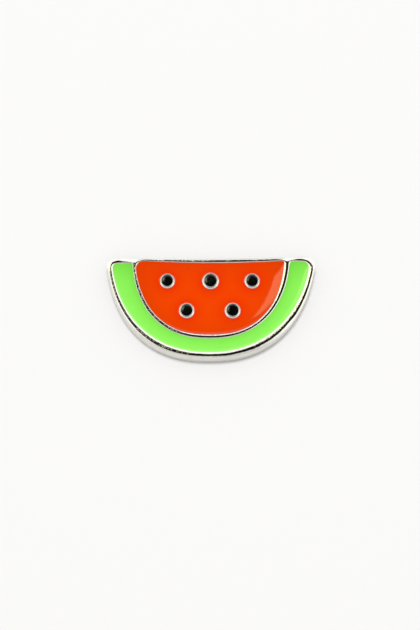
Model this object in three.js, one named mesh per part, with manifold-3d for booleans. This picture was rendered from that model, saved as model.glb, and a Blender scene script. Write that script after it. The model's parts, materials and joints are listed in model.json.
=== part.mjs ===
// A metal pin badge in the shape of a slice of watermelon, lying face up on its flat back.
// A die-struck plate has a raised rim, a raised line between rind and flesh, and five raised rings.
// Soft enamel fills the pockets between them and stays a little below the metal.
//
// Millimetres. The origin is under the middle of the badge, on its back face.
// +X runs along the slice, +Y points to its straight cut edge, and +Z out of its face.

import * as THREE from 'three';
import { mergeVertices } from 'three/addons/utils/BufferGeometryUtils.js';
import Module from 'manifold-3d';

// Heights above the back face.
const crestHeight = 2.0;
const enamelHeight = 1.84;
const seedEnamelHeight = 1.86;
const pocketFloor = 1.3;

// The plate's rounded edge, the sloping flank of its raised lines, and the seam round the enamel.
const edgeRounding = 0.18;
const flankWidth = 0.2;
const enamelSeam = 0.02;

// Each outline's curved side is the lower part of a superellipse, cut off by the slice's straight edge.
// fullness is its exponent: 2 is an ellipse, and more than 2 is squarer. lean is how far it moves to
// the right for each millimetre up the face.
const plateBowl = { centreX: -0.05, centreY: 10.64, halfWidth: 13.11, depth: 17.09, fullness: 2.38, lean: 0.013 };
const rindOuterBowl = { centreX: -0.09, centreY: 8.21, halfWidth: 12.14, depth: 13.92, fullness: 2.19, lean: 0.023 };
const rindInnerBowl = { centreX: -0.04, centreY: 7.71, halfWidth: 9.67, depth: 11.73, fullness: 2.34, lean: 0.02 };
const fleshBowl = { centreX: -0.08, centreY: 8.13, halfWidth: 9.13, depth: 11.61, fullness: 2.42, lean: 0 };

// Where each outline meets the straight edge, at its left and right ends. The badge is a little uneven.
const plateTop = { left: 6.4, right: 6.58, hollow: 0.18, leftCorner: 1.15, rightCorner: 1.3 };
const fleshTop = { left: 5.9, right: 5.92, hollow: 0.24, leftCorner: 1.0, rightCorner: 0.25 };
const rindTop = { left: 5.62, right: 5.88 };
const rindCorner = { outerLeft: 0.6, innerLeft: 0.25, innerRight: 0.32, outerRight: 0.85 };

// The five seeds: two rows, with the rings a little unequal in width.
const upperRow = 3.37;
const lowerRow = -0.43;
const seeds = [
  { x: -5.24, y: upperRow, ringRadius: 0.93 },
  { x: 0.01, y: upperRow, ringRadius: 1.02 },
  { x: 5.05, y: upperRow, ringRadius: 0.95 },
  { x: -2.87, y: lowerRow, ringRadius: 0.95 },
  { x: 2.67, y: lowerRow, ringRadius: 0.97 },
];
const seedRadius = 0.7;

const bowlSteps = 48;
const cornerSteps = 5;
const roundSteps = 24;

// The angle at which a bowl's side reaches a given height.
function angleAtHeight(bowl, y) {
  const share = (bowl.centreY - y) / bowl.depth;
  return Math.asin(share ** (bowl.fullness / 2));
}

// Points along a bowl from its left end to its right end, through the bottom.
function bowlPoints(bowl, leftEnd, rightEnd) {
  const from = Math.PI - angleAtHeight(bowl, leftEnd);
  const to = angleAtHeight(bowl, rightEnd);
  const power = 2 / bowl.fullness;
  const points = [];
  for (let step = 0; step <= bowlSteps; step += 1) {
    const angle = THREE.MathUtils.lerp(from, to, step / bowlSteps);
    const across = Math.sign(Math.cos(angle)) * Math.abs(Math.cos(angle)) ** power;
    const down = Math.sin(angle) ** power;
    const y = bowl.centreY - bowl.depth * down;
    points.push(new THREE.Vector2(bowl.centreX + bowl.halfWidth * across + bowl.lean * y, y));
  }
  return points;
}

// Points of a rounded corner, from one end of the rounding to the other.
function cornerPoints(start, corner, end) {
  return new THREE.QuadraticBezierCurve(start, corner, end).getPoints(cornerSteps);
}

// Points of the straight edge, which sags by hollow at its middle.
function edgePoints(start, end, hollow) {
  const middle = start.clone().lerp(end, 0.5);
  middle.y -= 2 * hollow;
  return new THREE.QuadraticBezierCurve(start, middle, end).getPoints(4 * cornerSteps);
}

// An outline needs each point once, so a point that repeats the one before it is left out.
function withoutRepeats(points) {
  return points.filter((point, index) => point.distanceTo(points.at(index - 1)) > 0.001);
}

// A slice: a bowl closed by the straight edge, with two rounded corners.
function sliceOutline(bowl, top) {
  const curve = bowlPoints(bowl, top.left - top.leftCorner, top.right - top.rightCorner);
  const rightCorner = new THREE.Vector2(curve.at(-1).x, top.right);
  const leftCorner = new THREE.Vector2(curve[0].x, top.left);
  const edgeStart = rightCorner.clone().setX(rightCorner.x - top.rightCorner);
  const edgeEnd = leftCorner.clone().setX(leftCorner.x + top.leftCorner);
  return withoutRepeats([
    ...curve,
    ...cornerPoints(curve.at(-1), rightCorner, edgeStart),
    ...edgePoints(edgeStart, edgeEnd, top.hollow),
    ...cornerPoints(edgeEnd, leftCorner, curve[0]),
  ]);
}

// The rind: a band between two bowls, with an arm on each side that ends below the straight edge.
function rindOutline() {
  const { left, right } = rindTop;
  const outer = bowlPoints(rindOuterBowl, left - rindCorner.outerLeft, right - rindCorner.outerRight);
  const inner = bowlPoints(rindInnerBowl, left - rindCorner.innerLeft, right - rindCorner.innerRight).reverse();
  const armEnd = (curveEnd, height, corner, side) => [
    new THREE.Vector2(curveEnd.x, height),
    new THREE.Vector2(curveEnd.x + side * corner, height),
  ];
  const [outerRight, outerRightEnd] = armEnd(outer.at(-1), right, rindCorner.outerRight, -1);
  const [innerRight, innerRightEnd] = armEnd(inner[0], right, rindCorner.innerRight, 1);
  const [innerLeft, innerLeftEnd] = armEnd(inner.at(-1), left, rindCorner.innerLeft, -1);
  const [outerLeft, outerLeftEnd] = armEnd(outer[0], left, rindCorner.outerLeft, 1);
  return withoutRepeats([
    ...outer,
    ...cornerPoints(outer.at(-1), outerRight, outerRightEnd),
    ...cornerPoints(innerRightEnd, innerRight, inner[0]),
    ...inner,
    ...cornerPoints(inner.at(-1), innerLeft, innerLeftEnd),
    ...cornerPoints(outerLeftEnd, outerLeft, outer[0]),
  ]);
}

function circlePath(x, y, radius) {
  const path = new THREE.Path();
  path.absarc(x, y, radius, 0, 2 * Math.PI);
  return new THREE.Path(withoutRepeats(path.getPoints(roundSteps)));
}

// A straight wall between two heights, with its edges rounded or chamfered inwards.
function roundedSlab(shape, bottom, top, rounding, segments) {
  const slab = new THREE.ExtrudeGeometry(shape, {
    depth: top - bottom - 2 * rounding,
    bevelThickness: rounding,
    bevelSize: rounding,
    bevelOffset: -rounding,
    bevelSegments: segments,
    curveSegments: roundSteps,
  });
  return slab.translate(0, 0, bottom + rounding);
}

// What the die leaves empty: a straight pocket, and above the enamel an opening that widens to the crest.
function straightPocket(outline) {
  const depth = enamelHeight - pocketFloor + enamelSeam;
  const pocket = new THREE.ExtrudeGeometry(new THREE.Shape(outline), { depth, bevelEnabled: false });
  return pocket.translate(0, 0, pocketFloor);
}

function flaredOpening(outline) {
  const rise = crestHeight - enamelHeight;
  const opening = new THREE.ExtrudeGeometry(new THREE.Shape(outline), {
    depth: rise,
    bevelThickness: rise,
    bevelSize: flankWidth,
    bevelSegments: 1,
  });
  return opening.translate(0, 0, enamelHeight + rise);
}

// A raised ring round a seed: straight inside, rounded over at the crest, and sloping outside.
function seedRing({ x, y, ringRadius }) {
  const crestRadius = seedRadius + 0.08;
  const profile = [
    [seedRadius, pocketFloor - 0.1],
    [ringRadius, pocketFloor - 0.1],
    [ringRadius, enamelHeight],
    [crestRadius + 0.06, crestHeight - 0.04],
    [crestRadius, crestHeight],
    [seedRadius + 0.03, crestHeight - 0.01],
    [seedRadius, crestHeight - 0.05],
  ].map(([radius, height]) => new THREE.Vector2(radius, height));
  return new THREE.LatheGeometry([...profile, profile[0]], roundSteps).rotateX(Math.PI / 2).translate(x, y, 0);
}

// Black enamel in a ring: a round button with a slightly dished face.
function seedButton() {
  const radius = seedRadius - enamelSeam;
  const profile = [
    [0, pocketFloor],
    [radius, pocketFloor],
    [radius, seedEnamelHeight],
    [0.6 * radius, seedEnamelHeight - 0.03],
    [0, seedEnamelHeight - 0.04],
  ].map(([r, height]) => new THREE.Vector2(r, height));
  return new THREE.LatheGeometry(profile, roundSteps).rotateX(Math.PI / 2);
}

// Enamel in a pocket: its outline drawn in by the seam, with holes for any rings.
function enamelSlab(outline, holes) {
  const shape = new THREE.Shape(outline);
  shape.holes.push(...holes);
  const slab = new THREE.ExtrudeGeometry(shape, {
    depth: enamelHeight - pocketFloor - 2 * enamelSeam,
    bevelThickness: enamelSeam,
    bevelSize: enamelSeam,
    bevelOffset: -2 * enamelSeam,
    bevelSegments: 1,
  });
  return slab.translate(0, 0, pocketFloor + enamelSeam);
}

const wasm = await Module();
wasm.setup();

function toSolid(geometry) {
  const bare = geometry.clone();
  bare.deleteAttribute('normal');
  bare.deleteAttribute('uv');
  const merged = mergeVertices(bare, 1e-4);
  return new wasm.Manifold(
    new wasm.Mesh({
      numProp: 3,
      vertProperties: new Float32Array(merged.attributes.position.array),
      triVerts: new Uint32Array(merged.index.array),
    }),
  );
}

function toGeometry(solid) {
  const mesh = solid.getMesh();
  const geometry = new THREE.BufferGeometry();
  geometry.setAttribute('position', new THREE.BufferAttribute(new Float32Array(mesh.vertProperties), 3));
  geometry.setIndex(new THREE.BufferAttribute(new Uint32Array(mesh.triVerts), 1));
  geometry.computeVertexNormals();
  return geometry;
}

function plateGeometry(rind, flesh) {
  const blank = new THREE.Shape(sliceOutline(plateBowl, plateTop));
  let plate = toSolid(roundedSlab(blank, 0, crestHeight, edgeRounding, 3));
  for (const outline of [rind, flesh]) {
    plate = plate.subtract(toSolid(straightPocket(outline)));
    plate = plate.subtract(toSolid(flaredOpening(outline)));
  }
  for (const seed of seeds) {
    plate = plate.add(toSolid(seedRing(seed)));
  }
  return toGeometry(plate);
}

const nickel = new THREE.MeshStandardMaterial({ color: 0xd9d7d0, roughness: 0.12, metalness: 1 });
const greenEnamel = new THREE.MeshStandardMaterial({ color: 0x84f04e, roughness: 0.18, metalness: 0 });
const redEnamel = new THREE.MeshStandardMaterial({ color: 0xf24400, roughness: 0.18, metalness: 0 });
const blackEnamel = new THREE.MeshStandardMaterial({ color: 0x0b0d0b, roughness: 0.15, metalness: 0 });

const badge = new THREE.Group();

function addPiece(name, geometry, material) {
  const piece = new THREE.Mesh(geometry, material);
  piece.name = name;
  badge.add(piece);
  return piece;
}

const rind = rindOutline();
const flesh = sliceOutline(fleshBowl, fleshTop);
const ringHoles = seeds.map(({ x, y, ringRadius }) => circlePath(x, y, ringRadius));

addPiece('metal_plate', plateGeometry(rind, flesh), nickel);
addPiece('rind_enamel', enamelSlab(rind, []), greenEnamel);
addPiece('flesh_enamel', enamelSlab(flesh, ringHoles), redEnamel);
seeds.forEach(({ x, y }, index) => {
  addPiece(`seed_${index + 1}`, seedButton(), blackEnamel).position.set(x, y, 0);
});

export default badge;
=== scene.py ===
import json
import math

import bmesh
import bpy
import numpy as np
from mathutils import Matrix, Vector
from mathutils.geometry import delaunay_2d_cdt
from mathutils.kdtree import KDTree

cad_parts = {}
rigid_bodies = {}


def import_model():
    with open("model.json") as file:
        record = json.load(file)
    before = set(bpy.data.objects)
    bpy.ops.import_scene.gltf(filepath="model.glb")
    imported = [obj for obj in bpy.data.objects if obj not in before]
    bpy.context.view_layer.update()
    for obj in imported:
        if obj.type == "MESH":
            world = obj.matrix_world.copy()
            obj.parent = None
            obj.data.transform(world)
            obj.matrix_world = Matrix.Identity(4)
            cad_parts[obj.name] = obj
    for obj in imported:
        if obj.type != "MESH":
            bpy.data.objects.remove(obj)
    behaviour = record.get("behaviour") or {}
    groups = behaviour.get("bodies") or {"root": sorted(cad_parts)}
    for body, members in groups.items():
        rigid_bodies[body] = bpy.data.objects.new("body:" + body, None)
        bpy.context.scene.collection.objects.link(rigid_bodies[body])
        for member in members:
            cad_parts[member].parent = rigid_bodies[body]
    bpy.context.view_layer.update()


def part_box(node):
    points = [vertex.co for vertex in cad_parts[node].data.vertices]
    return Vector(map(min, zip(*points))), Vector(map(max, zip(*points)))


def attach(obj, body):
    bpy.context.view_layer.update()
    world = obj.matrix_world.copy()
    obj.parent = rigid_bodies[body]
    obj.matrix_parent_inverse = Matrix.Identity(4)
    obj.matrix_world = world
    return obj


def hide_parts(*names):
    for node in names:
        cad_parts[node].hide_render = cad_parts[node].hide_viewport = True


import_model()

# ------------------------------------------------------------------ Struck plate
# The body of the badge: one piece of zinc alloy, struck in a die that leaves two pockets between
# raised lines, then tumbled, which rounds the lines, and plated with bright nickel.

MM = 0.001  # the frame is in metres, and the badge is drawn in millimetres
LOOP_STEP = 0.08
SAME_HEIGHT = 0.01  # points this near to a face's height belong to it

plate_low, plate_high = (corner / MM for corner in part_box("metal_plate"))
crest = plate_high.z
enamel_contact = crest - 0.13
pocket_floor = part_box("rind_enamel")[0].z / MM

# Each curved side is the lower part of a superellipse: its middle, half width, depth and exponent,
# and last how far it leans to the right for each millimetre of height on the face.
plate_bowl = (-0.05, 10.64, 13.11, 17.09, 2.38, 0.013)
rind_outer_bowl = (-0.09, 8.21, 12.14, 13.92, 2.19, 0.023)
rind_inner_bowl = (-0.04, 7.71, 9.67, 11.73, 2.34, 0.02)
flesh_bowl = (-0.08, 8.13, 9.13, 11.61, 2.42, 0.0)


def bowl_side(bowl, left_end, right_end):
    """Points down the bowl's left side, through its bottom and up its right side."""
    middle_x, middle_y, half_width, depth, fullness, lean = bowl
    ends = [math.asin(((middle_y - end) / depth) ** (fullness / 2)) for end in (left_end, right_end)]
    angle = np.linspace(math.pi - ends[0], ends[1], 400)
    across = np.sign(np.cos(angle)) * np.abs(np.cos(angle)) ** (2 / fullness)
    down = np.sin(angle) ** (2 / fullness)
    height = middle_y - depth * down
    return np.stack([middle_x + half_width * across + lean * height, height], axis=1)


def bend(start, tip, end):
    """A smooth turn from start to end that heads for tip at both ends."""
    t = np.linspace(0, 1, 24)[:, None]
    return (1 - t) ** 2 * np.array(start) + 2 * t * (1 - t) * np.array(tip) + t**2 * np.array(end)


def even_loop(*stretches):
    """One closed loop through all the stretches, with its points evenly spaced and its joins eased."""
    points = np.concatenate(stretches)
    closed = np.concatenate([points, points[:1]])
    travelled = np.concatenate([[0], np.cumsum(np.linalg.norm(np.diff(closed, axis=0), axis=1))])
    marks = np.linspace(0, travelled[-1], round(travelled[-1] / LOOP_STEP), endpoint=False)
    loop = np.stack([np.interp(marks, travelled, closed[:, axis]) for axis in (0, 1)], axis=1)
    for _ in range(3):
        loop = 0.5 * loop + 0.25 * (np.roll(loop, 1, axis=0) + np.roll(loop, -1, axis=0))
    return loop


def slice_loop(bowl, left, right, hollow, left_corner, right_corner):
    """A slice: a bowl closed by its cut edge, which sags by hollow, with two rounded corners."""
    side = bowl_side(bowl, left - left_corner, right - right_corner)
    edge_start = np.array([side[-1][0] - right_corner, right])
    edge_end = np.array([side[0][0] + left_corner, left])
    sag = (edge_start + edge_end) / 2 - np.array([0, 2 * hollow])
    return even_loop(
        side[:-1],
        bend(side[-1], (side[-1][0], right), edge_start)[:-1],
        bend(edge_start, sag, edge_end)[:-1],
        bend(edge_end, (side[0][0], left), side[0])[:-1],
    )


def rind_loop(left, right, outer_left, inner_left, inner_right, outer_right):
    """A band between two bowls, with an arm on each side; the last four are its corner radii."""
    outer = bowl_side(rind_outer_bowl, left - outer_left, right - outer_right)
    inner = bowl_side(rind_inner_bowl, left - inner_left, right - inner_right)[::-1]
    return even_loop(
        outer[:-1],
        bend(outer[-1], (outer[-1][0], right), (outer[-1][0] - outer_right, right)),
        bend((inner[0][0] + inner_right, right), (inner[0][0], right), inner[0])[:-1],
        inner[:-1],
        bend(inner[-1], (inner[-1][0], left), (inner[-1][0] - inner_left, left)),
        bend((outer[0][0] + outer_left, left), (outer[0][0], left), outer[0])[:-1],
    )


plate_edge = slice_loop(plate_bowl, 6.4, 6.58, 0.18, 1.15, 1.3)
flesh_edge = slice_loop(flesh_bowl, 5.9, 5.92, 0.24, 1.0, 0.25)
rind_edge = rind_loop(5.62, 5.88, 0.6, 0.25, 0.32, 0.85)


def moved_out(loop, distance):
    """The loop moved outwards by distance, or inwards where that is negative."""
    along = np.roll(loop, -1, axis=0) - np.roll(loop, 1, axis=0)
    along /= np.linalg.norm(along, axis=1)[:, None]
    return loop + distance * np.stack([along[:, 1], -along[:, 0]], axis=1)


def search_tree(points):
    """Flat points, sorted so that the nearest one is found fast."""
    tree = KDTree(len(points))
    for index, (x, y) in enumerate(points):
        tree.insert((x, y, 0), index)
    tree.balance()
    return tree


def contour_points(loops, sides, distances):
    """Points in rows along each loop, kept only where their own loop is clearly the nearest one."""
    trees = [search_tree(loop) for loop in loops]
    least_share, least_gap = 0.96, 0.4 * LOOP_STEP
    kept = []
    for own, (loop, side) in enumerate(zip(loops, sides)):
        for distance in distances:
            for x, y in moved_out(loop, side * distance):
                reach = [tree.find((x, y, 0))[2] for tree in trees]
                clear = min(reach[:own] + reach[own + 1 :], default=math.inf)
                if reach[own] > least_share * distance and clear > distance + least_gap:
                    kept.append((x, y))
    return kept


def is_inside(points, loops):
    """Whether each point is inside an odd number of the loops."""
    count = np.zeros(len(points), int)
    for loop in loops:
        (x0, y0), (x1, y1) = loop.T[:, :, None], np.roll(loop, -1, axis=0).T[:, :, None]
        spans = (y0 > points[:, 1]) != (y1 > points[:, 1])
        rise = np.where(y1 == y0, 1, y1 - y0)
        count += (spans & (points[:, 0] < x0 + (points[:, 1] - y0) * (x1 - x0) / rise)).sum(axis=0)
    return count % 2 == 1


def filled(loops, inner_points, height):
    """Triangles that fill the space between the loops, at one height: (vertices, faces)."""
    flat = [point for loop in loops for point in loop] + list(inner_points)
    edges = []
    start = 0
    for loop in loops:
        edges += [(start + i, start + (i + 1) % len(loop)) for i in range(len(loop))]
        start += len(loop)
    made, _, faces, _, _, _ = delaunay_2d_cdt([Vector(p) for p in flat], edges, [], 0, 1e-6)
    vertices = np.array([tuple(v) for v in made])
    faces = np.array(faces)
    faces = faces[is_inside(vertices[faces].mean(axis=1), loops)]
    return [(x, y, height) for x, y in vertices], [tuple(face) for face in faces.tolist()]


def wall(rings):
    """Quads between neighbouring rings of equal length: (vertices, faces)."""
    count = len(rings[0])
    vertices = [tuple(point) for ring in rings for point in ring]
    faces = []
    for start in range(0, (len(rings) - 1) * count, count):
        for here in range(count):
            after = (here + 1) % count
            faces.append((start + here, start + after, start + count + after, start + count + here))
    return vertices, faces


def ring_at(loop, height):
    """The loop's points at one height."""
    return [(x, y, height) for x, y in loop]


def placed(name, data):
    """A new object in the scene, at the origin."""
    thing = bpy.data.objects.new(name, data)
    bpy.context.scene.collection.objects.link(thing)
    return thing


def joined(name, *parts):
    """One closed mesh object from several (vertices, faces), which meet where their points coincide."""
    vertices, faces = [], []
    for part_vertices, part_faces in parts:
        faces += [tuple(len(vertices) + i for i in face) for face in part_faces]
        vertices += part_vertices
    mesh = bpy.data.meshes.new(name)
    mesh.from_pydata([Vector(v) * MM for v in vertices], [], faces)
    shape = bmesh.new()
    shape.from_mesh(mesh)
    bmesh.ops.remove_doubles(shape, verts=shape.verts, dist=1e-4 * MM)
    bmesh.ops.recalc_face_normals(shape, faces=shape.faces)
    shape.to_mesh(mesh)
    shape.free()
    mesh.shade_smooth()
    return placed(name, mesh)


def guide(name, lines, closed=True):
    """Bare edges along the lines, for a node tree to measure distances from."""
    vertices, edges = [], []
    for loop in lines:
        count = len(loop) if closed else len(loop) - 1
        edges += [(len(vertices) + i, len(vertices) + (i + 1) % len(loop)) for i in range(count)]
        vertices += [(x * MM, y * MM, 0) for x, y in loop]
    mesh = bpy.data.meshes.new(name)
    mesh.from_pydata(vertices, edges, [])
    return placed(name, mesh)


# The wall leans in by its draft as it rises, and the trimming die sat a little off the struck face.
wall_draft = 0.08
trim_offset = np.array([0.06, -0.01])
face_edge = moved_out(plate_edge, -wall_draft) + trim_offset


def plate_shape():
    """The plate with its struck face still flat: face, outer wall, back, pocket walls and floors."""
    loops = [face_edge, rind_edge, flesh_edge]
    row_distances = (0.02, 0.045, 0.075, 0.11, 0.15, 0.2, 0.26, 0.33, 0.42, 0.52)
    rows = contour_points(loops, [-1, 1, 1], row_distances)
    parts = [filled(loops, rows, crest)]
    back_rounding = 0.14
    outer = []
    for height in (crest, 1.4, 1.0, 0.65, 0.3):
        rise = height / crest
        outer.append(ring_at(plate_edge + (face_edge - plate_edge) * rise, height))
    for turn in np.radians((0, 22.5, 45, 67.5, 90)):
        inset = back_rounding * (1 - math.cos(turn))
        outer.append(ring_at(moved_out(plate_edge, -inset), back_rounding * (1 - math.sin(turn))))
    parts.append(wall(outer))
    parts.append(filled([moved_out(plate_edge, -back_rounding)], [], 0))
    for pocket in (rind_edge, flesh_edge):
        parts.append(wall([ring_at(pocket, crest), ring_at(pocket, pocket_floor)]))
        parts.append(filled([pocket], [], pocket_floor))
    return joined("struck_plate", *parts)


def add_node(tree, kind, values=(), **settings):
    """A new node: values go to its sockets by name or place, as a link or as a constant."""
    made = tree.nodes.new(kind)
    for key, value in settings.items():
        setattr(made, key, value)
    for key, value in dict(values).items():
        if isinstance(value, bpy.types.NodeSocket):
            tree.links.new(value, made.inputs[key])
        else:
            made.inputs[key].default_value = value
    return made


class Tree:
    """A geometry node tree built from top to bottom, with named inputs."""

    def __init__(self, name, inputs):
        self.tree = bpy.data.node_groups.new(name, "GeometryNodeTree")
        sockets = self.tree.interface
        sockets.new_socket("Geometry", in_out="INPUT", socket_type="NodeSocketGeometry")
        sockets.new_socket("Geometry", in_out="OUTPUT", socket_type="NodeSocketGeometry")
        for label, kind in inputs.items():
            sockets.new_socket(label, in_out="INPUT", socket_type=kind)
        self.inputs = self.tree.nodes.new("NodeGroupInput").outputs
        self.result = self.tree.nodes.new("NodeGroupOutput").inputs["Geometry"]

    def node(self, kind, values=(), **settings):
        return add_node(self.tree, kind, values, **settings)

    def maths(self, operation, first, second=0.0, clamped=False):
        sockets = {0: first, 1: second}
        return self.node("ShaderNodeMath", sockets, operation=operation, use_clamp=clamped).outputs[0]

    def place(self):
        """Where each point is, as three outputs: X, Y and Z."""
        position = self.node("GeometryNodeInputPosition").outputs["Position"]
        return self.node("ShaderNodeSeparateXYZ", {0: position}).outputs

    def noise(self, scale, detail):
        """Noise between 0 and 1 that the tree's Seed picks."""
        values = {"Scale": scale, "Detail": detail, "W": self.inputs["Seed"]}
        return self.node("ShaderNodeTexNoise", values, noise_dimensions="4D").outputs["Fac"]

    def distance_to(self, thing):
        """How far each point is from the edges of a guide object, in the guide's plane."""
        position = self.node("GeometryNodeInputPosition").outputs["Position"]
        flat = self.node("ShaderNodeVectorMath", {0: position, 1: (1, 1, 0)}, operation="MULTIPLY").outputs[0]
        lines = self.node("GeometryNodeObjectInfo", {"Object": thing}).outputs["Geometry"]
        values = {"Geometry": lines, "Sample Position": flat}
        return self.node("GeometryNodeProximity", values, target_element="EDGES").outputs["Distance"]

    def lowered(self, geometry, drop, selection):
        """The selected points moved down by drop."""
        down = self.node("ShaderNodeCombineXYZ", {"Z": self.maths("MULTIPLY", drop, -1.0)}).outputs[0]
        values = {"Geometry": geometry, "Offset": down, "Selection": selection}
        return self.node("GeometryNodeSetPosition", values).outputs[0]

    def finish(self, geometry):
        """The end of every tree: instances made real, and the material set."""
        real = self.node("GeometryNodeRealizeInstances", {"Geometry": geometry}).outputs[0]
        values = {"Geometry": real, "Material": self.inputs["Material"]}
        self.tree.links.new(self.node("GeometryNodeSetMaterial", values).outputs[0], self.result)

    def made_real(self, thing, name, **values):
        """Runs the tree on an object and returns the plain mesh object that comes out of it."""
        modifier = thing.modifiers.new("shape", "NODES")
        modifier.node_group = self.tree
        for socket in self.tree.interface.items_tree:
            if socket.in_out == "INPUT" and socket.name != "Geometry":
                modifier[socket.identifier] = values[socket.name.lower().replace(" ", "_")]
        evaluated = thing.evaluated_get(bpy.context.evaluated_depsgraph_get())
        mesh = bpy.data.meshes.new_from_object(evaluated)
        mesh.name = name
        thing.modifiers.remove(modifier)
        bpy.data.objects.remove(thing)
        return placed(name, mesh)


OBJECT, LENGTH, NUMBER, MATERIAL = (
    "NodeSocketObject",
    "NodeSocketFloat",
    "NodeSocketFloat",
    "NodeSocketMaterial",
)


def relief_tree():
    """Lowers the flat struck face to its relief: a flank rises from each pocket over a share of the
    line's width, and a shoulder falls to the face's own edge over another."""
    tree = Tree(
        "struck relief",
        {
            "Face edge": OBJECT,
            "Rind edge": OBJECT,
            "Flesh edge": OBJECT,
            "Top line": OBJECT,
            "Worn corners": OBJECT,
            "Rubbed stretches": OBJECT,
            "Line height": LENGTH,
            "Widening below": NUMBER,
            "Least line width": LENGTH,
            "Rub flattening": NUMBER,
            "Rim blend": LENGTH,
            "Rim flank share": NUMBER,
            "Rind flank share": NUMBER,
            "Flesh flank share": NUMBER,
            "Shoulder drop": LENGTH,
            "Shoulder share": NUMBER,
            "Shoulder roundness": NUMBER,
            "Top flattening": NUMBER,
            "Top bevel": LENGTH,
            "Corner bevel": LENGTH,
            "Corner deepening": NUMBER,
            "Bevel reach": LENGTH,
            "Rubbed reach": LENGTH,
            "Unevenness": LENGTH,
            "Rub depth": LENGTH,
            "Seed": NUMBER,
            "Material": MATERIAL,
        },
    )
    given = tree.inputs

    def closeness(guide_name, reach_name):
        away = tree.maths("DIVIDE", tree.distance_to(given[guide_name]), given[reach_name])
        return tree.maths("EXPONENT", tree.maths("MULTIPLY", tree.maths("POWER", away, 2.0), -1.0))

    # How far each point is from the pockets and from the face's edge.
    rind = tree.distance_to(given["Rind edge"])
    flesh = tree.distance_to(given["Flesh edge"])
    edge = tree.distance_to(given["Face edge"])
    at_top = closeness("Top line", "Bevel reach")
    at_corner = closeness("Worn corners", "Bevel reach")
    bevel = tree.maths("MULTIPLY", at_top, given["Top bevel"])
    bevel = tree.maths("ADD", bevel, tree.maths("MULTIPLY", at_corner, given["Corner bevel"]))

    place = tree.place()
    low_down = tree.maths("DIVIDE", place["Y"], plate_low.y * MM, clamped=True)
    wider_below = tree.maths("ADD", 1.0, tree.maths("MULTIPLY", low_down, given["Widening below"]))

    # The line's width is the way from the nearest pocket to whatever lies across from it.
    nearest = tree.maths("MINIMUM", rind, flesh)
    across = tree.maths("MINIMUM", tree.maths("MAXIMUM", rind, flesh), edge)
    line_width = tree.maths("SUBTRACT", tree.maths("ADD", nearest, across), bevel)
    line_width = tree.maths("MAXIMUM", line_width, given["Least line width"])
    rubbed = closeness("Rubbed stretches", "Rubbed reach")
    flat_crest = tree.maths("SUBTRACT", 1.0, tree.maths("MULTIPLY", rubbed, given["Rub flattening"]))
    line_width = tree.maths("MULTIPLY", line_width, flat_crest)
    on_rim = tree.maths("DIVIDE", tree.maths("SUBTRACT", flesh, edge), given["Rim blend"])
    on_rim = tree.maths("ADD", on_rim, 0.5, clamped=True)
    rim_extra = tree.maths("SUBTRACT", given["Rim flank share"], given["Rind flank share"])
    rind_share = tree.maths("ADD", given["Rind flank share"], tree.maths("MULTIPLY", on_rim, rim_extra))

    # The flanks up from the pockets.
    drop = 0.0
    for pocket, share in ((rind, rind_share), (flesh, given["Flesh flank share"])):
        flank_width = tree.maths("MULTIPLY", tree.maths("MULTIPLY", line_width, share), wider_below)
        up_flank = tree.maths("DIVIDE", pocket, flank_width, clamped=True)
        flank = tree.maths("POWER", tree.maths("SUBTRACT", 1.0, up_flank), 2.0)
        drop = tree.maths("ADD", tree.maths("MULTIPLY", flank, given["Line height"]), drop)

    # The shoulder down to the face's edge.
    rim_width = tree.maths("MULTIPLY", tree.maths("ADD", nearest, edge), flat_crest)
    width = tree.maths("ADD", tree.maths("MULTIPLY", rim_width, given["Shoulder share"]), bevel)
    up_shoulder = tree.maths("DIVIDE", edge, width, clamped=True)
    flattening = tree.maths("MULTIPLY", at_top, given["Top flattening"])
    roundness = tree.maths("SUBTRACT", given["Shoulder roundness"], flattening)
    shoulder = tree.maths("POWER", tree.maths("SUBTRACT", 1.0, up_shoulder), roundness)
    deeper = tree.maths("ADD", 1.0, tree.maths("MULTIPLY", at_corner, given["Corner deepening"]))
    shoulder = tree.maths("MULTIPLY", tree.maths("MULTIPLY", shoulder, deeper), given["Shoulder drop"])
    drop = tree.maths("ADD", drop, shoulder)

    # The unevenness of a tumbled casting, and the marks where it is rubbed.
    broad_waves = tree.maths("MULTIPLY", tree.noise(900.0, 1.0), given["Unevenness"])
    rub_marks = tree.maths("MULTIPLY", tree.noise(3600.0, 1.0), given["Rub depth"])
    drop = tree.maths("ADD", drop, broad_waves)
    drop = tree.maths("ADD", drop, tree.maths("MULTIPLY", rubbed, rub_marks))
    struck = tree.maths("GREATER_THAN", place["Z"], (crest - SAME_HEIGHT) * MM)
    values = {"Geometry": given["Geometry"], "Name": "rubbed", "Value": rubbed}
    geometry = tree.node("GeometryNodeStoreNamedAttribute", values).outputs[0]
    tree.finish(tree.lowered(geometry, drop, struck))
    return tree


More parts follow.
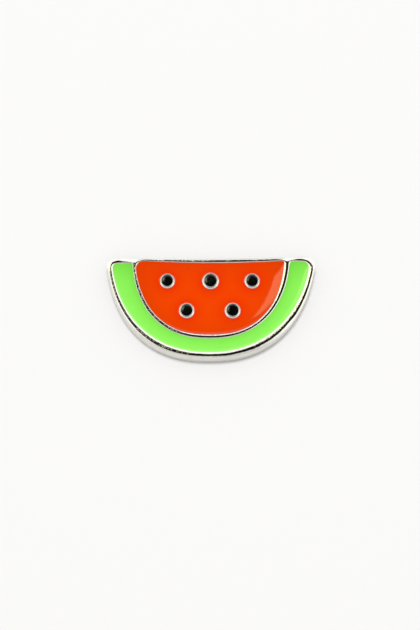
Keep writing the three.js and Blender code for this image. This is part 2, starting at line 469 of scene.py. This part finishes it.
def marks_group():
    """Shared effect: uneven marks from handling and tumbling, as a mask from 0 to 1 and a height."""
    group = bpy.data.node_groups.new("tumbling marks", "ShaderNodeTree")
    sockets = group.interface
    for label in ("Fine scale", "Broad scale", "Contrast"):
        sockets.new_socket(label, in_out="INPUT", socket_type="NodeSocketFloat")
    for label in ("Mask", "Height"):
        sockets.new_socket(label, in_out="OUTPUT", socket_type="NodeSocketFloat")
    given = group.nodes.new("NodeGroupInput").outputs
    result = group.nodes.new("NodeGroupOutput").inputs
    threshold = -0.6
    place = group.nodes.new("ShaderNodeTexCoord").outputs["Object"]
    layers = []
    for scale, detail in (("Fine scale", 1.5), ("Broad scale", 2.0)):
        values = {"Vector": place, "Scale": given[scale], "Detail": detail}
        layers.append(add_node(group, "ShaderNodeTexNoise", values).outputs["Fac"])
    both = add_node(group, "ShaderNodeMath", enumerate(layers), operation="MULTIPLY").outputs[0]
    values = {0: both, 1: given["Contrast"], 2: threshold}
    mask = add_node(group, "ShaderNodeMath", values, operation="MULTIPLY_ADD", use_clamp=True).outputs[0]
    group.links.new(mask, result["Mask"])
    group.links.new(layers[0], result["Height"])
    return group


tumbling_marks = marks_group()


class Finish:
    """A material with a Principled shader, built node by node."""

    def __init__(self, name, **constants):
        self.material = bpy.data.materials.new(name)
        self.material.use_nodes = True
        self.links = self.material.node_tree.links
        self.shader = self.material.node_tree.nodes["Principled BSDF"]
        for label, value in constants.items():
            self.shader.inputs[label.replace("_", " ")].default_value = value

    def node(self, kind, values=(), **settings):
        return add_node(self.material.node_tree, kind, values, **settings)

    def marks(self, fine, broad, contrast):
        """The shared marks, at this finish's own scales and contrast."""
        values = {"Fine scale": fine, "Broad scale": broad, "Contrast": contrast}
        return self.node("ShaderNodeGroup", values, node_tree=tumbling_marks).outputs

    def between(self, share, low, high):
        """A value that runs from low to high as share goes from 0 to 1."""
        values = {"Value": share, "To Min": low, "To Max": high}
        return self.node("ShaderNodeMapRange", values).outputs["Result"]

    def blended(self, share, first, second):
        """A colour that runs from the first to the second as share goes from 0 to 1."""
        mix = self.node("ShaderNodeMix", data_type="RGBA", clamp_factor=True)
        sockets = {"Factor_Float": share, "A_Color": first, "B_Color": second}
        for socket in mix.inputs:
            if socket.identifier in sockets:
                value = sockets[socket.identifier]
                if isinstance(value, bpy.types.NodeSocket):
                    self.links.new(value, socket)
                else:
                    socket.default_value = value
        return next(socket for socket in mix.outputs if socket.identifier == "Result_Color")

    def feed(self, label, value):
        self.links.new(value, self.shader.inputs[label])

    def bumped(self, height, depth):
        values = {"Height": height, "Distance": depth, "Strength": 1.0}
        self.feed("Normal", self.node("ShaderNodeBump", values).outputs["Normal"])


def bright_nickel():
    """Bright nickel, a little warm, with the soft orange peel and dull patches of a tumbled casting."""
    finish = Finish("bright_nickel", Metallic=1.0)
    marks = finish.marks(4200.0, 900.0, 3.0)
    bright, handled = (0.745, 0.735, 0.67, 1), (0.65, 0.64, 0.585, 1)
    finish.feed("Base Color", finish.blended(marks["Mask"], bright, handled))
    rubbed = finish.node("ShaderNodeAttribute", attribute_name="rubbed").outputs["Fac"]
    dull = finish.node("ShaderNodeMath", {0: marks["Mask"], 1: rubbed}, operation="MULTIPLY").outputs[0]
    finish.feed("Roughness", finish.between(dull, 0.11, 0.5))
    finish.bumped(marks["Height"], 0.016 * MM)
    return finish.material


nickel = bright_nickel()

face_guide = guide("face edge", [face_edge])
rind_guide = guide("rind edge", [rind_edge])
flesh_guide = guide("flesh edge", [flesh_edge])

# Polishing has flattened the shoulder along the top edge, and bevelled it most where the lines meet,
# at the two outer corners and along the rim's lower right. A worn stretch of a curve is cut from the
# 400 points that bowl_side gives.
top_line = np.array([(-12.3, 5.5), (-11.4, 6.2), (11.1, 6.4), (12.3, 5.6)])
top_line_guide = guide("top line", [top_line], closed=False)
left_junction = np.array([(-10.1, 6.3), (-9.3, 6.3), (-9.7, 5.95)])
right_junction = np.array([(9.25, 6.5), (9.5, 6.45)])
outer_corners = [np.array([(-12.6, 6.2), (-12.1, 6.55)]), np.array([(12.4, 6.3), (12.1, 6.6)])]
lower_right_rim = bowl_side((-0.05, 10.64, 13.4, 17.4, 2.38, 0.013), 2.0, 2.0)[237:341]
worn_stretches = [left_junction, right_junction, *outer_corners, lower_right_rim]
corner_guide = guide("worn corners", worn_stretches, closed=False)

# Handling has rubbed the rim dull at the lower left, the left half of the line inside it, and the
# crest over the flesh.
lower_left_rim = bowl_side((-0.05, 9.4, 12.6, 15.5, 2.3, 0.018), 0.5, 0.5)[60:170]
left_inner_line = bowl_side((-0.06, 7.92, 9.4, 11.67, 2.38, 0.01), 5.0, 5.0)[:150]
over_the_flesh = np.array([(-8.6, 6.05), (0.0, 5.85), (8.8, 6.05)])
rubbed_stretches = [lower_left_rim, left_inner_line, over_the_flesh]
rubbed_guide = guide("rubbed stretches", rubbed_stretches, closed=False)

plate = relief_tree().made_real(
    plate_shape(),
    "struck_plate",
    face_edge=face_guide,
    rind_edge=rind_guide,
    flesh_edge=flesh_guide,
    top_line=top_line_guide,
    worn_corners=corner_guide,
    rubbed_stretches=rubbed_guide,
    line_height=(crest - enamel_contact) * MM,
    widening_below=0.5,
    least_line_width=0.3 * MM,
    rub_flattening=0.3,
    rim_blend=1.2 * MM,
    rim_flank_share=0.46,
    rind_flank_share=0.28,
    flesh_flank_share=0.36,
    shoulder_drop=0.18 * MM,
    shoulder_share=0.52,
    shoulder_roundness=2.8,
    top_flattening=1.3,
    top_bevel=0.01 * MM,
    corner_bevel=0.4 * MM,
    corner_deepening=0.5,
    bevel_reach=0.7 * MM,
    rubbed_reach=0.35 * MM,
    unevenness=0.012 * MM,
    rub_depth=0.022 * MM,
    seed=3.0,
    material=nickel,
)
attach(plate, "root")
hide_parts("metal_plate")

# ------------------------------------------------------------------ Seed rings
# Five raised rings in the flesh pocket, struck with the plate and plated with it.
# Each holds one seed's enamel. They are alike, but the die cutter made some a little wider.

seed_nodes = [f"seed_{number}" for number in range(1, 6)]
seed_middles = [(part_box(node)[0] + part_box(node)[1]) / 2 / MM for node in seed_nodes]
seed_low, seed_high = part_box(seed_nodes[0])
seed_radius = (seed_high.x - seed_low.x) / 2 / MM + 0.02
ring_radius = 0.95
ring_spread = [0.98, 1.08, 1.0, 1.0, 1.02]
ring_length = 1.06  # how much longer than wide the rings are


def turned(name, profile, steps=96):
    """A closed profile of (radius, height) turned round the vertical axis."""
    rings = []
    for radius, height in profile:
        angle = np.linspace(0, 2 * math.pi, steps, endpoint=False)
        rings.append([(radius * math.cos(a), radius * math.sin(a), height) for a in angle])
    return joined(name, wall(rings))


def ring_profile():
    """A ring's section: a rounded bead that is straight inside and slopes away outside."""
    outside = [(ring_radius, pocket_floor - 0.05), (ring_radius, enamel_contact - 0.02)]
    slope = []
    bead_radius = 0.075
    bead_middle = (seed_radius + bead_radius, crest - bead_radius)
    for turn in np.radians(np.linspace(35, 180, 14)):
        across = bead_middle[0] + bead_radius * math.cos(turn)
        slope.append((across, bead_middle[1] + bead_radius * math.sin(turn)))
    foot = np.array(outside[1])
    shoulder = np.array(slope[0])
    flank = [tuple(foot + (shoulder - foot) * share) for share in (0.33, 0.66)]
    inside = [(seed_radius, crest - 0.2), (seed_radius, pocket_floor - 0.05)]
    return [*outside, *flank, *slope, *inside, outside[0]]


def scatter_tree():
    """Puts a copy of a piece on each point: tilted a little, widened by its spread, and stretched."""
    tree = Tree(
        "pieces on points",
        {"Piece": OBJECT, "Length": NUMBER, "Tilt": NUMBER, "Seed": "NodeSocketInt", "Material": MATERIAL},
    )
    given = tree.inputs
    piece = tree.node("GeometryNodeObjectInfo", {"Object": given["Piece"]}).outputs["Geometry"]
    low = tree.node("ShaderNodeVectorMath", {0: (-1, -1, 0), "Scale": given["Tilt"]}, operation="SCALE")
    high = tree.node("ShaderNodeVectorMath", {0: (1, 1, 0), "Scale": given["Tilt"]}, operation="SCALE")
    limits = {0: low.outputs[0], 1: high.outputs[0], "Seed": given["Seed"]}
    tilt = tree.node("FunctionNodeRandomValue", limits, data_type="FLOAT_VECTOR")
    spread = tree.node("GeometryNodeInputNamedAttribute", {"Name": "spread"}).outputs["Attribute"]
    long = tree.maths("MULTIPLY", spread, given["Length"])
    size = tree.node("ShaderNodeCombineXYZ", {"X": spread, "Y": long, "Z": 1.0}).outputs[0]
    turn = tree.node("FunctionNodeEulerToRotation", {0: tilt.outputs[0]}).outputs[0]
    values = {"Points": given["Geometry"], "Instance": piece, "Scale": size, "Rotation": turn}
    tree.finish(tree.node("GeometryNodeInstanceOnPoints", values).outputs[0])
    return tree


def seed_points():
    """One point at each seed, which carries how much wider than usual its ring is."""
    mesh = bpy.data.meshes.new("seed points")
    mesh.from_pydata([(middle.x * MM, middle.y * MM, 0) for middle in seed_middles], [], [])
    mesh.attributes.new("spread", "FLOAT", "POINT").data.foreach_set("value", ring_spread)
    return placed("seed points", mesh)


on_seed_points = scatter_tree()
one_ring = turned("one ring", ring_profile())
rings = on_seed_points.made_real(
    seed_points(), "seed_rings", piece=one_ring, length=ring_length, tilt=0.0, seed=1, material=nickel
)
bpy.data.objects.remove(one_ring)
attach(rings, "root")
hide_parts("metal_plate")

# ------------------------------------------------------------------ Rind enamel
# Bright green soft enamel, dropped in wet and baked. It shrinks as it sets, so its face is dished:
# it clings to the metal at its edges and lies a little lower along the middle of the band.

enamel_lap = 0.012  # how far enamel reaches into the metal's flank, so that no gap shows
enamel_floor = pocket_floor + 0.02
near_edge_rows = (0.02, 0.045, 0.08, 0.12, 0.17, 0.23, 0.3, 0.38, 0.48, 0.6, 0.75, 0.92)
face_step = 0.16


def even_grid(loops, clearance):
    """Points of an even grid between the loops that stay clear of them."""
    low, high = loops[0].min(axis=0), loops[0].max(axis=0)
    across, up = np.meshgrid(np.arange(low[0], high[0], face_step), np.arange(low[1], high[1], face_step))
    points = np.stack([across.ravel(), up.ravel()], axis=1)
    points = points[is_inside(points, loops)]
    near = search_tree(np.concatenate(loops))
    return [(x, y) for x, y in points if near.find((x, y, 0))[2] > clearance]


def enamel_shape(name, outline, holes):
    """A pocket's fill with a flat face, closed by its sides and its underside."""
    edges = [moved_out(outline, enamel_lap)] + [moved_out(hole, -enamel_lap) for hole in holes]
    sides = [-1] + [1] * len(holes)
    rows = contour_points(edges, sides, near_edge_rows)
    rows += even_grid(edges, near_edge_rows[-1] + face_step / 2)
    parts = [filled(edges, rows, enamel_contact), filled(edges, [], enamel_floor)]
    parts += [wall([ring_at(edge, enamel_contact), ring_at(edge, enamel_floor)]) for edge in edges]
    return joined(name, *parts)


def enamel_tree():
    """Dishes a flat enamel face between its edges, and stores how near each point is to each of them."""
    edges = ("first edge", "second edge", "third edge")
    inputs = {"Dish depth": LENGTH, "Pooling": LENGTH, "Seed": NUMBER, "Material": MATERIAL}
    for edge in edges:
        inputs |= {edge.capitalize(): OBJECT, f"{edge.capitalize()} reach": LENGTH}
    tree = Tree("dished enamel", inputs)
    given = tree.inputs

    def nearness(edge, reach):
        away = tree.maths("DIVIDE", tree.distance_to(given[edge.capitalize()]), reach)
        return tree.maths("EXPONENT", tree.maths("MULTIPLY", away, -1.0))

    free = 1.0
    for edge in edges:
        off_edge = tree.maths("SUBTRACT", 1.0, nearness(edge, given[f"{edge.capitalize()} reach"]))
        free = tree.maths("MULTIPLY", off_edge, free)
    pools = tree.maths("MULTIPLY", tree.noise(260.0, 0.0), given["Pooling"])
    depth = tree.maths("ADD", given["Dish depth"], pools)
    face = tree.maths("GREATER_THAN", tree.place()["Z"], (enamel_contact - SAME_HEIGHT) * MM)
    geometry = given["Geometry"]
    # The nearness stored here drives the painted shade and painted highlight near the edges in enamel_finish.
    for edge in edges:
        values = {"Geometry": geometry, "Name": edge, "Value": nearness(edge, 1.0 * MM)}
        geometry = tree.node("GeometryNodeStoreNamedAttribute", values).outputs[0]
    tree.finish(tree.lowered(geometry, tree.maths("MULTIPLY", free, depth), face))
    return tree


def enamel_finish(name, body, painted_edge_light):
    """Glossy baked enamel, with painted shade and painted highlight near its edges. For each edge come
    the painted colour there, how steeply it sets in, and its greatest share."""
    finish = Finish(name, IOR=1.5)
    marks = finish.marks(1400.0, 240.0, 2.6)
    dimmed = tuple(0.95 * part for part in body[:3]) + (1,)
    colour = finish.blended(marks["Mask"], body, dimmed)
    # Near each edge the colour is blended towards a painted shade or a painted highlight.
    for edge, (painted_colour, power, most) in painted_edge_light.items():
        near = finish.node("ShaderNodeAttribute", attribute_name=edge).outputs["Fac"]
        share = finish.node("ShaderNodeMath", {0: near, 1: power}, operation="POWER").outputs[0]
        share = finish.node("ShaderNodeMath", {0: share, 1: most}, operation="MULTIPLY").outputs[0]
        colour = finish.blended(share, colour, painted_colour)
    finish.feed("Base Color", colour)
    finish.feed("Roughness", finish.between(marks["Mask"], 0.05, 0.12))
    finish.bumped(marks["Height"], 0.003 * MM)
    return finish.material


dished_enamel = enamel_tree()

rind_outer_side = bowl_side(rind_outer_bowl, 5.62, 5.88)
rind_inner_side = bowl_side(rind_inner_bowl, 5.62, 5.88)
arm_tops = [np.array([rind_outer_side[end], rind_inner_side[end]]) for end in (0, -1)]
outer_guide = guide("rind outer side", [rind_outer_side], closed=False)
inner_guide = guide("rind inner side", [rind_inner_side], closed=False)
tops_guide = guide("arm tops", arm_tops, closed=False)
green = enamel_finish(
    "green_enamel",
    (0.298, 0.985, 0.118, 1),
    {
        # Painted highlight: the green is lighter along its outer side.
        "first edge": ((0.37, 0.98, 0.17, 1), 3.5, 1.0),
        # Painted shade: darker along the inner side, below the line between rind and flesh.
        "second edge": ((0.17, 0.7, 0.055, 1), 1.0, 0.55),
        # Painted shade: darker at the tops of the arms.
        "third edge": ((0.16, 0.66, 0.05, 1), 0.5, 0.7),
    },
)
rind = dished_enamel.made_real(
    enamel_shape("rind", rind_edge, []),
    "rind_fill",
    first_edge=outer_guide,
    first_edge_reach=0.28 * MM,
    second_edge=inner_guide,
    second_edge_reach=0.35 * MM,
    third_edge=tops_guide,
    third_edge_reach=0.6 * MM,
    dish_depth=0.12 * MM,
    pooling=0.03 * MM,
    seed=1.0,
    material=green,
)
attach(rind, "root")
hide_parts("rind_enamel")

# ------------------------------------------------------------------ Flesh enamel
# Orange-red soft enamel, filled in round the five rings in the same way as the rind's.


def oval_loop(middle, radius):
    """An oval as much longer than wide as the rings are."""
    angle = np.linspace(0, 2 * math.pi, 80, endpoint=False)
    across, up = radius * np.cos(angle), ring_length * radius * np.sin(angle)
    return np.stack([middle.x + across, middle.y + up], axis=1)


ring_lap = 0.02  # how far the enamel reaches under a ring's outer slope
ring_edges = [
    oval_loop(middle, ring_radius * spread - ring_lap)
    for middle, spread in zip(seed_middles, ring_spread)
]
flesh_side = bowl_side(flesh_bowl, 5.9, 5.92)
side_guide = guide("flesh side", [flesh_side], closed=False)
top_guide = guide("flesh top", [flesh_side[[0, -1]]], closed=False)
rings_guide = guide("ring edges", ring_edges)
red = enamel_finish(
    "red_enamel",
    (0.93, 0.065, 0.0, 1),
    {
        # Painted shade: the red is darker along its curved side.
        "first edge": ((0.7, 0.05, 0.0, 1), 0.8, 0.75),
        # Painted shade: darker along its top edge.
        "second edge": ((0.74, 0.042, 0.0, 1), 0.6, 0.7),
        # Painted shade: darker round the seed rings.
        "third edge": ((0.84, 0.03, 0.0, 1), 1.2, 0.8),
    },
)
flesh = dished_enamel.made_real(
    enamel_shape("flesh", flesh_edge, ring_edges),
    "flesh_fill",
    first_edge=side_guide,
    first_edge_reach=1.0 * MM,
    second_edge=top_guide,
    second_edge_reach=0.9 * MM,
    third_edge=rings_guide,
    third_edge_reach=0.02 * MM,
    dish_depth=0.22 * MM,
    pooling=0.03 * MM,
    seed=5.0,
    material=red,
)
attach(flesh, "root")
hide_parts("flesh_enamel")

# ------------------------------------------------------------------ Seeds
# A drop of black enamel in each ring. In so small a cup it stands up in the middle as it bakes,
# so each seed is a shallow dome just below the ring's crest.

dome_height = 0.06
dome_flatness = 5
pole_hole = 0.02  # the section stops this far from the middle, and the holes are filled afterwards


def seed_profile():
    """The drop's section, from the middle of its underside round to the top of its dome."""
    rim_radius = seed_radius + 0.01
    dome = []
    for share in np.linspace(1, pole_hole, 16):
        dome.append((rim_radius * share, enamel_contact + dome_height * (1 - share**dome_flatness)))
    return [(pole_hole, enamel_floor), (rim_radius, enamel_floor), *dome]


def black_enamel():
    """Black enamel under its own clear skin, a little scuffed."""
    finish = Finish("black_enamel", Coat_Weight=1.0, Coat_Roughness=0.05)
    marks = finish.marks(5200.0, 1200.0, 3.0)
    deep, scuffed = (0.001, 0.0015, 0.001, 1), (0.007, 0.008, 0.007, 1)
    finish.feed("Base Color", finish.blended(marks["Mask"], deep, scuffed))
    finish.feed("Roughness", finish.between(marks["Mask"], 0.08, 0.2))
    finish.bumped(marks["Height"], 0.012 * MM)
    return finish.material


def one_seed():
    """The drop as a closed mesh, with its two holes at the middle filled."""
    seed = turned("one seed", seed_profile())
    shape = bmesh.new()
    shape.from_mesh(seed.data)
    bmesh.ops.holes_fill(shape, edges=[edge for edge in shape.edges if edge.is_boundary])
    bmesh.ops.recalc_face_normals(shape, faces=shape.faces)
    shape.to_mesh(seed.data)
    shape.free()
    return seed


drop = one_seed()
seeds = on_seed_points.made_real(
    seed_points(), "seed_fills", piece=drop, length=ring_length, tilt=0.02, seed=4, material=black_enamel()
)
bpy.data.objects.remove(drop)
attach(seeds, "root")
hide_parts(*seed_nodes)

# The guides have done their work. They are the only meshes with no faces.
for helper in list(bpy.data.objects):
    if helper.type == "MESH" and not helper.data.polygons:
        bpy.data.objects.remove(helper)

# ------------------------------------------------------------------ Table, light and camera
# The badge lies on a plain white table in a white light tent. The only dark thing that its polished
# faces can mirror is the opening over it, where the camera looks in.


def table():
    """A plain matt white sheet, far wider than the badge."""
    half = 0.6
    mesh = bpy.data.meshes.new("table")
    corners = [(-half, -half, 0), (half, -half, 0), (half, half, 0), (-half, half, 0)]
    mesh.from_pydata(corners, [], [(0, 1, 2, 3)])
    finish = Finish("white_table", Roughness=0.9, Specular_IOR_Level=0.1)
    marks = finish.marks(60.0, 9.0, 1.0)
    finish.feed("Base Color", finish.blended(marks["Mask"], (0.91, 0.91, 0.91, 1), (0.9, 0.9, 0.9, 1)))
    mesh.materials.append(finish.material)
    placed("table", mesh)


def light_tent():
    """White low walls all round, a dark ceiling with one softbox at its back left, and even soft fill."""
    world = bpy.data.worlds.new("light tent")
    bpy.context.scene.world = world
    world.use_nodes = True
    links = world.node_tree.links
    background = world.node_tree.nodes["Background"].inputs

    def node(kind, values=(), output=0, **settings):
        return add_node(world.node_tree, kind, values, **settings).outputs[output]

    def maths(operation, first, second=0.0, third=0.0):
        return node("ShaderNodeMath", {0: first, 1: second, 2: third}, operation=operation)

    def step(value, low, high, to_low=0.0, to_high=1.0):
        """Smoothly from to_low to to_high as the value passes from low to high."""
        ends = {"Value": value, "From Min": low, "From Max": high, "To Min": to_low, "To Max": to_high}
        return node("ShaderNodeMapRange", ends, interpolation_type="SMOOTHSTEP")

    direction = node("ShaderNodeTexCoord", output="Generated")
    x, y, z = add_node(world.node_tree, "ShaderNodeSeparateXYZ", {0: direction}).outputs

    # The ceiling's outline and the softbox, as seen from the badge: 1 is the horizon, 0 straight up.
    ceiling_middle, ceiling_size = (0.0, -0.04), (0.64, 0.68)
    squares = []
    for axis, middle, size in zip((x, y), ceiling_middle, ceiling_size):
        share = maths("DIVIDE", maths("SUBTRACT", axis, middle), size)
        squares.append(maths("MULTIPLY", share, share))
    ceiling = step(maths("ADD", *squares), 0.85, 1.2, 1.0, 0.0)
    ceiling = maths("MULTIPLY", ceiling, step(z, 0.0, 0.1))
    softbox_x, softbox_y, blur = (-0.62, -0.115), (0.33, 0.51), 0.02
    softbox = ceiling
    for axis, (low, high) in zip((x, y), (softbox_x, softbox_y)):
        softbox = maths("MULTIPLY", softbox, step(axis, low - blur, low + blur))
        softbox = maths("MULTIPLY", softbox, step(axis, high - blur, high + blur, 1.0, 0.0))

    walls = step(y, -0.85, -0.3, 0.8, 1.45)
    dark, softbox_level = 0.012, 2.5
    seen = node("ShaderNodeMapRange", {"Value": ceiling, "To Min": walls, "To Max": dark})
    seen = node("ShaderNodeMapRange", {"Value": softbox, "To Min": seen, "To Max": softbox_level})
    blue, softbox_blue = 0.99, 0.54
    tint = node("ShaderNodeMapRange", {"Value": softbox, "To Min": blue, "To Max": softbox_blue})
    colour = node("ShaderNodeCombineColor", {"Red": 1.0, "Green": 0.99, "Blue": tint})
    links.new(colour, background["Color"])
    path = world.node_tree.nodes.new("ShaderNodeLightPath").outputs
    mirrored = maths("MULTIPLY", path["Is Glossy Ray"], maths("LESS_THAN", path["Diffuse Depth"], 0.5))
    fill, backdrop = 0.6, 0.96
    lit = node("ShaderNodeMapRange", {"Value": mirrored, "To Min": fill, "To Max": seen})
    strength = node("ShaderNodeMapRange", {"Value": path["Is Camera Ray"], "To Min": lit, "To Max": backdrop})
    links.new(strength, background["Strength"])

    data = bpy.data.lights.new("overhead light", "AREA")
    data.shape = "DISK"
    data.size = 0.24
    data.energy = 4.7
    lamp = placed("overhead light", data)
    lamp_distance = 1.0
    towards_lamp = Vector((0.0, 0.13, 1)).normalized()
    lamp.location = lamp_distance * towards_lamp
    lamp.rotation_euler = towards_lamp.to_track_quat("Z", "Y").to_euler()
    lamp.visible_glossy = False


def camera():
    """A long lens looking down at the face, 19 degrees from straight above and from the front."""
    elevation = math.radians(71)
    distance = 210.5 * MM
    back = Vector((0, -math.cos(elevation), math.sin(elevation)))
    target = Vector((-0.06, -0.38, 0)) * MM + back * (crest * MM / back.z)
    data = bpy.data.cameras.new("camera")
    data.lens = 100.0
    data.sensor_width = 36.0
    data.clip_start = 0.005
    data.clip_end = 5.0
    thing = placed("camera", data)
    thing.location = target + back * distance
    thing.rotation_euler = back.to_track_quat("Z", "Y").to_euler()
    bpy.context.scene.camera = thing


table()
light_tent()
camera()
bpy.context.scene.view_settings.view_transform = "Standard"
